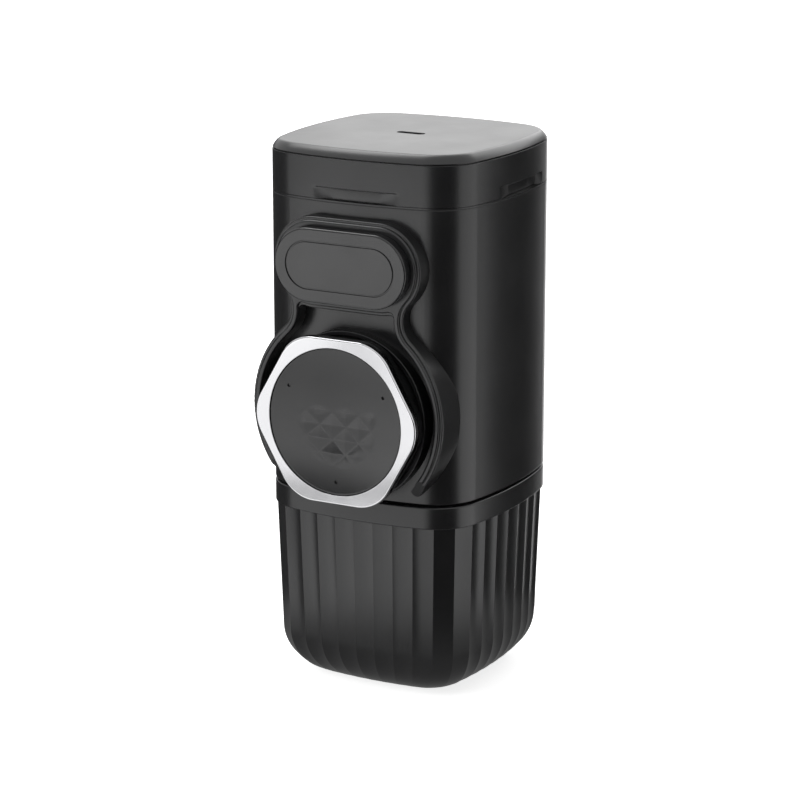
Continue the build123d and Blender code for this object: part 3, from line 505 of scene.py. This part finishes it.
class MAKER_OT_cup(bpy.types.Operator):
    """Fluted drinking cup with a plain band, lofted as one closed skin

    Each ring is the plan outline with its station's half width and corner radius, sunk by the depth of the
    flutes there times their hollow.
    """
    bl_idname = "maker.cup"
    bl_label = "Drinking cup"

    def execute(self, context):
        cup, shape = context.scene.maker_cup, context.scene.maker_outline
        base, top, band_low = cup_low.z, cup_high.z, cup_high.z - cup.band
        # A wall that stands further in has a smaller corner by the same amount
        trim = shape.corner_radius - half_width
        # Columns stand closer at a flute's two ridges, and its hollow is a parabola between them
        near_ridge = np.array([0.02, 0.06, 0.13, 0.22, 0.32, 0.43])
        in_flute = np.concatenate([[0], near_ridge, [0.5], 1 - near_ridge[::-1]])
        share = ((np.arange(cup.flutes)[:, None] + in_flute) / cup.flutes).ravel()
        hollow = np.tile(4 * in_flute * (1 - in_flute), cup.flutes)

        def bend(half, floor, rounding, count=25):
            """Stations round a bottom edge: half width, corner radius, height and cosine of the turn."""
            foot = half - (band_low - floor - rounding) * cup.draft
            angle = np.linspace(0, math.pi / 2, count)
            sink = rounding * (1 - np.cos(angle))
            corner = trim + foot - cup.corner_shrink * sink
            z = floor + rounding * (1 - np.sin(angle))
            return np.stack([foot - sink, corner, z, np.cos(angle)], axis=-1)

        def upright(half, high, low, count):
            """Stations down a wall from a half width, drafted below the band."""
            z = np.linspace(high, low, count)
            here = half - np.maximum(band_low - z, 0) * cup.draft
            return np.stack([here, trim + here, z, np.ones(count)], axis=-1)

        rim = rounded(
            [(-cup.wall, band_low), (-cup.wall, top), (0, top), (0, band_low), (-cup.inset, band_low)],
            [0, shape.edge_round, shape.edge_round, shape.edge_round, 0])
        out, z = rim.T
        rim = np.stack([half_width + out, shape.corner_radius + out, z, 0 * out], axis=-1)
        inside = bend(half_width - cup.wall, base + cup.floor, cup.inner_rounding)[::-1]
        inner_wall = upright(half_width - cup.wall, band_low, inside[-1, 2], count=6)[::-1][1:-1]
        outside = bend(half_width - cup.inset, base, cup.rounding)
        outer_wall = upright(half_width - cup.inset, band_low, outside[0, 2], count=14)[:-1]
        # A flute runs out round the bottom edge with the cube of the cosine of the turn
        fade = outside[:, 3] ** 3
        deep = np.concatenate([
            np.zeros(len(inside) + len(inner_wall) + len(rim)), np.full(len(outer_wall), cup.flute_depth),
            cup.foot_depth + (cup.flute_depth - cup.foot_depth) * fade])
        rows = np.vstack([inside, inner_wall, rim, outer_wall, outside])[:, :, None]
        x, y = outline(share, rows[:, 0], rows[:, 1], deep[:, None] * hollow)
        rings = np.stack(np.broadcast_arrays(x, y, rows[:, 2]), axis=-1)
        skin("cup_skin", rings, "cup", "drinking_cup", first=(0, 0, base + cup.floor), last=(0, 0, base))
        return {"FINISHED"}


def level(plan, z):
    """Plan points lifted to one height."""
    return np.concatenate([plan, np.full((*plan.shape[:-1], 1), z)], axis=-1)


def finger_grips(x, y, below, sunk):
    """Moves points in towards the floor of the nearest grip, by their share sunk.

    Seen with its side to the front, a grip's floor keeps its depth behind the outline, and a straight ramp
    at each end brings it back to the outline. The ends lean in with the distance below the grip's lip.
    Opposite grips are alike, turned half round.
    """
    lid = bpy.context.scene.maker_lid
    lean = lid.grip_lean * below
    for start, first, last, end, depth in (lid.front_grip, lid.side_grip) * 2:
        down = np.minimum((x - start - lean) / first, (end - lean - x) / last)
        y = np.where(y < 0, y + depth * np.clip(down, 0, 1) * sunk, y)
        x, y = -y, x
    return x, y


class MAKER_OT_lid(bpy.types.Operator):
    """Lid whose skin runs from the vent slot over the crown, down the sides and back inside

    Each ring of the walls is the plan outline at its row's offset, moved in where it crosses a finger grip.
    The rings of the top and of its underside lie at shares of the way between that outline and the slot.
    """
    bl_idname = "maker.lid"
    bl_label = "Top lid"

    def execute(self, context):
        lid, shape = context.scene.maker_lid, context.scene.maker_outline
        low, top = lid_low.z - lid.reach, lid_high.z
        columns, crown_rows = 480, 20
        share = np.arange(columns) / columns
        # The crown drops with the square of the way across its border
        span = np.linspace(0, 1, crown_rows)
        crown_low = lid_low.z + lid.side + lid.groove_rise * lid.groove
        side_top = crown_low - lid.groove
        crown = np.stack([
            -lid.crown_inset - lid.crown_width * (1 - span), top - (top - crown_low) * span ** 2], axis=-1)
        line_low, line_top = lid_low.z - lid.line / 2, lid_low.z + lid.line / 2
        side = rounded(
            [crown[-1], (-lid.groove_depth, crown_low), (-lid.groove_depth, side_top), (0, side_top),
             (0, line_top), (-lid.line_depth, line_top), (-lid.line_depth, line_low), (0, line_low),
             (0, low - lid.drip), (-lid.drip, low), (-lid.wall, low), (-lid.wall, top - lid.roof)],
            [0, 0, 0, lid.side_edge, lid.tip_round, 0, 0, 0, lid.tip_round, lid.tip_round,
             shape.edge_round, 0], support=lid.tip_round)
        # A grip's roof slopes in below its lip and eases into its floor, which opens into the sunk line
        lip = lid_low.z + lid.grip_height
        stops = (lip - lid.grip_ease, lip - lid.grip_lip, lip)
        grip_rows = np.array([(0, height) for height in (lip + lid.grip_lip, *stops[::-1])])
        cut = np.argmax(side[:, 1] < lip)
        rows = np.vstack([crown[:-1], side[:cut], grip_rows, side[cut:]])
        x, y = parallel(share, rows[:, :1])
        z = np.broadcast_to(rows[:, 1:], x.shape)
        sunk = np.interp(z, stops, (1, lid.grip_roof, 0))
        # What follows the back of the sunk line keeps its place
        sunk[np.argmax(rows[:, 1] == line_low) + 1:] = 0
        x, y = finger_grips(x, y, lip - z, sunk)
        walls = np.stack([x, y, z], axis=-1)

        vent = np.array([lid.vent_length, lid.vent_width])
        slot = np.stack(stadium(share, *vent), axis=-1)
        rim = np.stack(stadium(share, *(vent + 2 * lid.vent_round)), axis=-1)
        # Rings across the top and its underside stand closer together at the slot and at the border
        spread = np.array([0.01, 0.05, 0.15, 0.3, 0.5, 0.7, 0.85, 0.95])[:, None, None]
        roof = level(rim + (walls[0, :, :2] - rim) * spread, top)
        under = level(walls[-1, :, :2] + (slot - walls[-1, :, :2]) * spread, top - lid.roof)
        throat = np.stack([level(slot, top - lid.roof), level(slot, top - lid.vent_round), level(rim, top)])
        rings = np.concatenate([roof, walls, under, throat])
        skin("lid_skin", rings, "lid", "top_lid", loop=True)
        return {"FINISHED"}


class MAKER_OT_badge(bpy.types.Operator):
    """Pill-shaped badge plate with a rounded edge and a sunk line

    Each ring is the pill's outline, drawn in by the inset of its row of the profile.
    """
    bl_idname = "maker.badge"
    bl_label = "Badge plate"

    def execute(self, context):
        front = context.scene.maker_front
        columns = 240
        share = np.arange(columns) / columns
        face, back = -badge_low.y, -badge_high.y
        near, far = front.line_inset, front.line_inset + front.line_width
        tall = badge_high.z - badge_low.z
        # The line's walls slope, its edges are soft, and inside the core both faces close as fans
        slope, soft, core = front.line_width / 6, front.line_width / 10, tall / 3
        rows = rounded(
            [(core, face), (far, face), (far - slope, face - front.line_depth),
             (near + slope, face - front.line_depth), (near, face), (0, face), (0, back), (core, back)],
            [0, soft, soft, soft, soft, front.badge_round, soft, 0], support=soft)
        inset = 2 * rows[:, :1]
        x, up = stadium(share, badge_high.x - badge_low.x - inset, tall - inset)
        middle = (badge_low.z + badge_high.z) / 2 - knob_z
        rings = on_front(x, up + middle, rows[:, 1:])
        poles = on_front(np.zeros(2), middle, np.array([face, back]))
        skin("badge_skin", rings, "machine", "badge_plate", first=poles[0], last=poles[1])
        return {"FINISHED"}


class MAKER_OT_ring(bpy.types.Operator):
    """Bright hexagonal ring of the knob, with a round hole for the disc

    Each ring of points lies at its row's share of the way from the round hole to the rounded hexagon.
    """
    bl_idname = "maker.ring"
    bl_label = "Knob ring"

    def execute(self, context):
        front = context.scene.maker_front
        columns, bore_rows, rim_rows = 720, 6, 10
        angle = np.arange(columns) * (2 * math.pi / columns)
        face, back = -ring_low.y, -ring_high.y
        hole = disc_high.x + front.ring_gap
        # A row holds the share of the way from the hole to the hexagon, the hole's growth or the hexagon's
        # inset there, and how far out it lies
        turn = np.linspace(0, math.pi / 2, bore_rows)
        inner = front.ring_inner_round
        bore = np.stack([0 * turn, inner * (1 - np.cos(turn)), face - inner * (1 - np.sin(turn))], axis=-1)
        turn = np.linspace(0, math.pi / 2, rim_rows)
        edge = front.ring_round
        rim = np.stack([1 + 0 * turn, edge * (1 - np.sin(turn)), face - edge * (1 - np.cos(turn))], axis=-1)
        plain = np.array([[share, 0, face] for share in (0.04, 0.35, 0.65, 0.96)])
        wall = np.array([(1, 0, back + inner), (1, 0, back), (0, 0, back), (0, 0, back + inner)])
        rows = np.vstack([bore, plain, rim, wall])
        share, change, out = rows[:, :1], rows[:, 1:2], rows[:, 2:]
        flat = (share > 0) & (share < 1)
        circle = np.stack([np.cos(angle), np.sin(angle)])[:, None]
        hole_x, hole_up = (hole + np.where(flat, inner, change)) * circle
        rim_x, rim_up = hexagon(angle, np.where(flat, edge, change))
        rings = on_front(hole_x + (rim_x - hole_x) * share, hole_up + (rim_up - hole_up) * share, out)
        skin("ring_skin", rings, "knob", "knob_ring", loop=True)
        return {"FINISHED"}


class MAKER_OT_disc(bpy.types.Operator):
    """Dished disc of the knob, with a quilted middle and three sunk dots

    The dish rises with the square of the radius. A diamond of the quilt is a low pyramid, whose height goes
    with the distance to the nearest of its four edges. A dot falls off steeply at its own radius.
    """
    bl_idname = "maker.disc"
    bl_label = "Knob disc"

    def execute(self, context):
        front = context.scene.maker_front
        face, back, edge = -disc_low.y, -disc_high.y, disc_high.x
        columns, rows, dot_rows, edge_rows = 240, 64, 19, 6
        # Extra columns and rows run through each dot and half its radius past it
        dots = np.radians([30, 150, 270])
        near_dot = front.dot_radius * np.linspace(-1.5, 1.5, dot_rows)
        angle = np.linspace(0, 2 * math.pi, columns, endpoint=False)
        angle = np.union1d(angle, dots[:, None] + near_dot / front.dot_circle)
        radius = np.linspace(0.01, 1, rows) * (edge - front.disc_round)
        radius = np.union1d(radius, front.dot_circle + near_dot)[:, None]
        x, up = radius * np.cos(angle), radius * np.sin(angle)

        across, down = (x - front.quilt_x) / front.quilt_width, (up - front.quilt_up) / front.quilt_tall
        rise, fall = (across + down) % 1, (across - down) % 1
        border = np.minimum(front.quilt_radius - radius, front.quilt_top - up)
        pyramid = 2 * np.minimum(np.minimum(rise, 1 - rise), np.minimum(fall, 1 - fall))
        quilt = front.quilt_rise * pyramid * np.clip(border / front.quilt_fade, 0, 1)
        dot_x, dot_up = front.dot_circle * np.cos(dots), front.dot_circle * np.sin(dots)
        gap = np.hypot(x[..., None] - dot_x, up[..., None] - dot_up).min(axis=-1)
        # A dot reaches its depth a third of its radius in from its edge
        sunk = np.clip(3 * (1 - gap / front.dot_radius), 0, 1)
        out = face - front.dish * (1 - (radius / edge) ** 2) + quilt - front.dot_depth * sunk

        turn = np.linspace(0, math.pi / 2, edge_rows)[1:, None]
        rim = edge - front.disc_round * (1 - np.sin(turn))
        rim = np.vstack([rim, [[edge], [edge - front.disc_round]]])
        rim_out = np.vstack([out[-1].mean() - front.disc_round * (1 - np.cos(turn)), [[back], [back]]])
        flat = on_front(x, up, out)
        rest = on_front(rim * np.cos(angle), rim * np.sin(angle), rim_out)
        poles = on_front(np.zeros(2), 0, np.array([out[0].mean(), back]))
        skin("disc_skin", np.concatenate([flat, rest]), "knob", "knob_disc", first=poles[0], last=poles[1])
        return {"FINISHED"}


def helix(radius, wire, turns, low, high, rings_per_turn=40, columns=12):
    """Rings of points round a helical wire: two coordinates across its axis, and one along it.

    The wire's middle goes round at the radius and climbs evenly. A ring lies along the radius and along
    the direction at right angles to both the radius and the wire.
    """
    turn = np.linspace(0, 2 * math.pi * turns, rings_per_turn * turns + 1)[:, None]
    around = np.linspace(0, 2 * math.pi, columns, endpoint=False)
    lead = (high - low - wire) / (2 * math.pi * turns)
    lean = math.atan2(lead, radius)
    out, side = radius + wire / 2 * np.cos(around), wire / 2 * np.sin(around)
    x = out * np.cos(turn) + side * math.sin(lean) * np.sin(turn)
    y = out * np.sin(turn) - side * math.sin(lean) * np.cos(turn)
    return x, y, low + wire / 2 + lead * turn + side * math.cos(lean)


class MAKER_OT_springs(bpy.types.Operator):
    """Helical springs of the plunger and of its two valves, each a skin round its wire"""
    bl_idname = "maker.springs"
    bl_label = "Springs"

    def execute(self, context):
        springs = context.scene.maker_springs
        low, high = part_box("plunger_spring")
        wire = springs.pump_wire
        x, up, out = helix(high.x - wire / 2, wire, springs.pump_turns, -high.y, -low.y)
        rings = on_front(x, up, out)
        ends = (0, high.y, knob_z), (0, low.y, knob_z)
        self.fit("plunger_spring", rings, "plunger", ends)
        wire = springs.valve_wire
        for node, ball in (("inlet_spring", "suction_ball"), ("outlet_spring", "pressure_ball")):
            low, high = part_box(node)
            x, y, z = helix(high.x - wire / 2, wire, springs.valve_turns, low.z, high.z)
            middle = (low.y + high.y) / 2
            rings = np.stack([x, y + middle, z], axis=-1)
            ends = (0, middle, low.z), (0, middle, high.z)
            self.fit(node, rings, ball, ends)
        return {"FINISHED"}

    def fit(self, node, rings, body, ends):
        """Spring's skin, closed at both ends as fans, baked into its place in the model."""
        poles = rings.mean(axis=1)
        piece = skin(node + "_skin", rings, None, node, first=poles[0], last=poles[-1])
        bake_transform(piece)


class MAKER_OT_finish(bpy.types.Operator):
    """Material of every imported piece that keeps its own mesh"""
    bl_idname = "maker.finish"
    bl_label = "Finishes"

    def execute(self, context):
        made = finishes()
        for name, item in frame["nodes"].items():
            item.data.materials.clear()
            item.data.materials.append(made[slot_of[name]])
        return {"FINISHED"}


def seen(tree):
    """Socket that is one for rays that see the surround: from the camera, in gloss and through glass."""
    path = add(tree, "ShaderNodeLightPath")
    gloss = add(tree, "ShaderNodeMath", {
        0: path.outputs["Is Camera Ray"], 1: path.outputs["Is Glossy Ray"]}, operation="MAXIMUM")
    either = add(tree, "ShaderNodeMath", {
        0: gloss.outputs[0], 1: path.outputs["Is Transmission Ray"]}, operation="MAXIMUM")
    return either.outputs[0]


def surround():
    """White surround where it is seen, and a softer fill elsewhere."""
    studio = bpy.context.scene.maker_studio
    world = bpy.data.worlds.new("surround")
    world.use_nodes = True
    tree = world.node_tree
    tree.nodes.clear()
    strength = add(tree, "ShaderNodeMapRange", {
        "Value": seen(tree), "To Min": studio.fill, "To Max": studio.white})
    light = add(tree, "ShaderNodeBackground", {
        "Color": (1, 1, 1, 1), "Strength": strength.outputs["Result"]})
    add(tree, "ShaderNodeOutputWorld", {"Surface": light.outputs["Background"]})
    bpy.context.scene.world = world


def floor_paint():
    """Pale matt floor that keeps the object's shadow and is white where it is seen unshaded."""
    studio = bpy.context.scene.maker_studio
    material, tree = fresh("pale_studio_floor")
    base = (*bpy.context.scene.maker_finish.floor, 1)
    paint = add(tree, "ShaderNodeBsdfDiffuse", {"Color": base})
    path = add(tree, "ShaderNodeLightPath")
    strength = add(tree, "ShaderNodeMapRange", {
        "Value": path.outputs["Is Camera Ray"], "To Min": studio.floor_gloss, "To Max": studio.floor_seen})
    glow = add(tree, "ShaderNodeEmission", {"Strength": strength.outputs["Result"]})
    both = add(tree, "ShaderNodeAddShader", {0: paint.outputs["BSDF"], 1: glow.outputs["Emission"]})
    mix = add(tree, "ShaderNodeMixShader", {
        0: seen(tree), 1: paint.outputs["BSDF"], 2: both.outputs["Shader"]})
    add(tree, "ShaderNodeOutputMaterial", {"Surface": mix.outputs["Shader"]})
    return material


def card(order, name, tip, angles, radii, wall, brightness, columns=73):
    """Sector of a flat ring just above the floor, with a wall up from its outer edge, seen only in gloss.

    A point stands at a radius and an angle from the tip: the radius times the angle's sine to the right,
    and times its cosine to the front. A later card lies a little higher and covers the ones before it.
    """
    angle, radius = np.meshgrid(np.radians(np.linspace(*angles, columns)), (*radii, radii[1]))
    lift = cad_low.z + order * CARD_LIFT
    height = np.array([[lift], [lift], [lift + wall]]) + 0 * angle
    points = np.stack([tip[0] + radius * np.sin(angle), tip[1] - radius * np.cos(angle), height], axis=-1)
    index = np.arange(angle.size).reshape(angle.shape)[:3 if wall else 2]
    quads = np.stack([index[:-1, :-1], index[1:, :-1], index[1:, 1:], index[:-1, 1:]], axis=-1)
    mesh = bpy.data.meshes.new(name)
    mesh.from_pydata(points[:len(index)].reshape(-1, 3).tolist(), [], quads.reshape(-1, 4).tolist())
    material, tree = fresh(name)
    paint = add(tree, "ShaderNodeEmission", {"Strength": brightness})
    add(tree, "ShaderNodeOutputMaterial", {"Surface": paint.outputs["Emission"]})
    mesh.materials.append(material)
    item = bpy.data.objects.new(name, mesh)
    bpy.context.scene.collection.objects.link(item)
    item.visible_camera = item.visible_diffuse = item.visible_shadow = item.visible_transmission = False


class MAKER_OT_stage(bpy.types.Operator):
    """Pale floor, white surround, cards, soft lamps and the camera"""
    bl_idname = "maker.stage"
    bl_label = "Studio"

    def execute(self, context):
        studio = context.scene.maker_studio
        floor_mesh = bpy.data.meshes.new("floor")
        reach = studio.floor_half
        floor_mesh.from_pydata(
            [(-reach, -reach, cad_low.z), (reach, -reach, cad_low.z), (reach, reach, cad_low.z),
             (-reach, reach, cad_low.z)], [], [(0, 1, 2, 3)])
        floor = bpy.data.objects.new("floor", floor_mesh)
        context.scene.collection.objects.link(floor)
        floor_mesh.materials.append(floor_paint())
        surround()
        for order, values in enumerate(CARDS, 1):
            card(order, *values)
        for name, place, size, power, mirrored in LAMPS:
            lamp = bpy.data.lights.new(name, "AREA")
            lamp.shape = "RECTANGLE"
            lamp.size, lamp.size_y = size
            lamp.energy = power
            item = bpy.data.objects.new(name, lamp)
            item.location = place
            item.rotation_euler = (Vector(LAMP_AIM) - Vector(place)).to_track_quat("-Z", "Y").to_euler()
            item.visible_glossy = mirrored
            context.scene.collection.objects.link(item)
        lens = bpy.data.cameras.new("camera")
        lens.lens, lens.sensor_width = studio.lens * PER_METRE, studio.sensor * PER_METRE
        camera = bpy.data.objects.new("camera", lens)
        camera.location = studio.camera_place
        aim = Vector(studio.camera_aim) - camera.location
        camera.rotation_euler = aim.to_track_quat("-Z", "Y").to_euler()
        context.scene.collection.objects.link(camera)
        context.scene.camera = camera
        context.scene.view_settings.view_transform = "Standard"
        return {"FINISHED"}


class MAKER_PT_panel(bpy.types.Panel):
    """Sidebar panel that lists the steps"""
    bl_idname = "MAKER_PT_panel"
    bl_label = "Pocket coffee maker"
    bl_space_type = "VIEW_3D"
    bl_region_type = "UI"
    bl_category = "Coffee maker"

    def draw(self, context):
        for step in STEPS:
            self.layout.operator(step.bl_idname)


STEPS = (
    MAKER_OT_finish, MAKER_OT_cup, MAKER_OT_lid, MAKER_OT_badge, MAKER_OT_ring, MAKER_OT_disc,
    MAKER_OT_springs, MAKER_OT_stage)
GROUPS = {
    "maker_outline": MakerOutline,
    "maker_cup": MakerCup,
    "maker_lid": MakerLid,
    "maker_front": MakerFront,
    "maker_springs": MakerSprings,
    "maker_finish": MakerFinish,
    "maker_studio": MakerStudio,
}


def register():
    for name, group in GROUPS.items():
        bpy.utils.register_class(group)
        setattr(bpy.types.Scene, name, PointerProperty(type=group))
    for item in (*STEPS, MAKER_PT_panel):
        bpy.utils.register_class(item)


def unregister():
    for item in (MAKER_PT_panel, *reversed(STEPS)):
        bpy.utils.unregister_class(item)
    for name, group in reversed(GROUPS.items()):
        delattr(bpy.types.Scene, name)
        bpy.utils.unregister_class(group)


def main():
    register()
    for step in STEPS:
        group, name = step.bl_idname.split(".")
        getattr(getattr(bpy.ops, group), name)()


if __name__ == "__main__":
    main()
